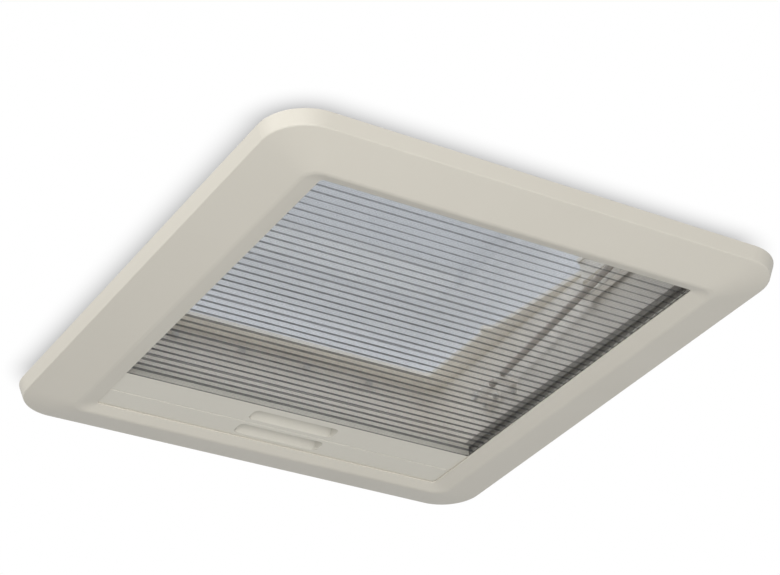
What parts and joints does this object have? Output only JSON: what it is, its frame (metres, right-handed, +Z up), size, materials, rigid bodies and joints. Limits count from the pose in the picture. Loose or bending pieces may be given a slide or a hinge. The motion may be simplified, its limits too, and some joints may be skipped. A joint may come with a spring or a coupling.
{
  "type": "roof hatch",
  "caption": "Rectangular roof hatch for a caravan: domed double-glazed lid opened by a bail, roof frame, bevelled interior trim, pleated flyscreen and blackout blind.",
  "frame": {"origin": "centre of the lowest plane, which the ridge of the interior trim touches", "axes": "+X across the hatch, +Y along the blinds' travel towards the dome hinge, +Z up through the roof to the dome"},
  "size_m": [0.504, 0.545, 0.172],
  "materials": {
    "trim_plastic": "fine satin",
    "roof_frame_plastic": "satin",
    "dome_frame_plastic": "satin",
    "blind_rail_plastic": "satin",
    "guide_plastic": "dull",
    "fitting_plastic": "dull",
    "dome_acrylic": "clear, gloss",
    "dome_haze_acrylic": "see-through, faintly frosted",
    "net": "fine mesh",
    "blackout_cloth": "matt, pleated",
    "cord": "braided",
    "seal_rubber": "matt",
    "bail_tube": "dark anodised",
    "steel": "plain zinc"
  },
  "bodies": {
    "roof_frame": {"interior_frame": "trim_plastic", "clamp_claws": "steel", "clamp_screws": "steel", "frame_clips": "steel", "base_frame": "roof_frame_plastic", "side_guide_right": "guide_plastic", "side_guide_left": "guide_plastic", "blackout_cassette": "roof_frame_plastic", "flyscreen_cassette": "roof_frame_plastic", "flyscreen": "net", "blackout_pleats": "blackout_cloth", "guide_cords": "cord", "cord_anchors": "fitting_plastic", "dome_seal": "seal_rubber", "hinge_brackets": "steel", "hinge_pins": "steel", "hinge_screws": "steel", "hinge_nuts": "steel", "bail_bracket_right": "roof_frame_plastic", "bail_bracket_left": "roof_frame_plastic", "bail_cradle_right": "roof_frame_plastic", "bail_cradle_left": "roof_frame_plastic", "bracket_screws": "steel", "pivot_pins": "steel"},
    "dome": {"dome_subframe": "dome_frame_plastic", "dome_pane": "dome_acrylic", "dome_shell": "dome_haze_acrylic", "hinge_arms": "steel", "hinge_arm_screws": "steel", "bail_track_right": "dome_frame_plastic", "bail_track_left": "dome_frame_plastic", "track_screws": "steel"},
    "bail": {"bail_bar": "bail_tube", "bail_grip": "fitting_plastic", "bail_arm_right": "bail_tube", "bail_arm_left": "bail_tube", "bail_end_right": "roof_frame_plastic", "bail_end_left": "roof_frame_plastic", "bail_corner_right": "fitting_plastic", "bail_corner_left": "fitting_plastic", "bail_shoe_right": "fitting_plastic", "bail_shoe_left": "fitting_plastic"},
    "flyscreen_rail_body": {"flyscreen_rail": "blind_rail_plastic", "flyscreen_rail_glides": "fitting_plastic", "flyscreen_rail_magnets": "steel"},
    "blackout_rail_body": {"blackout_rail": "blind_rail_plastic", "blackout_rail_glides": "fitting_plastic", "blackout_rail_magnets": "steel"}
  },
  "joints": [
    {"name": "dome_hinge", "type": "hinge", "parent": "roof_frame", "child": "dome", "pos_m": [0, 0.2315, 0.095], "axis": [-1, 0, 0], "range_deg": [0, 45]},
    {"name": "bail_pivot", "type": "hinge", "parent": "roof_frame", "child": "bail", "pos_m": [0, 0.1075, 0.049], "axis": [-1, 0, 0], "range_deg": [0, 62]},
    {"name": "blackout_rail_slide", "type": "slide", "parent": "roof_frame", "child": "blackout_rail_body", "axis": [0, -1, 0], "range_m": [0, 0.3733], "deforming": ["blackout_pleats"]},
    {"name": "flyscreen_rail_slide", "type": "slide", "parent": "roof_frame", "child": "flyscreen_rail_body", "axis": [0, -1, 0], "range_m": [0, 0.3733], "deforming": ["flyscreen"]}
  ],
  "couplings": [
    {"joint": "bail_pivot", "follows": "dome_hinge", "ratio": 1.362},
    {"joint": "flyscreen_rail_slide", "follows": "blackout_rail_slide", "ratio": 1}
  ]
}
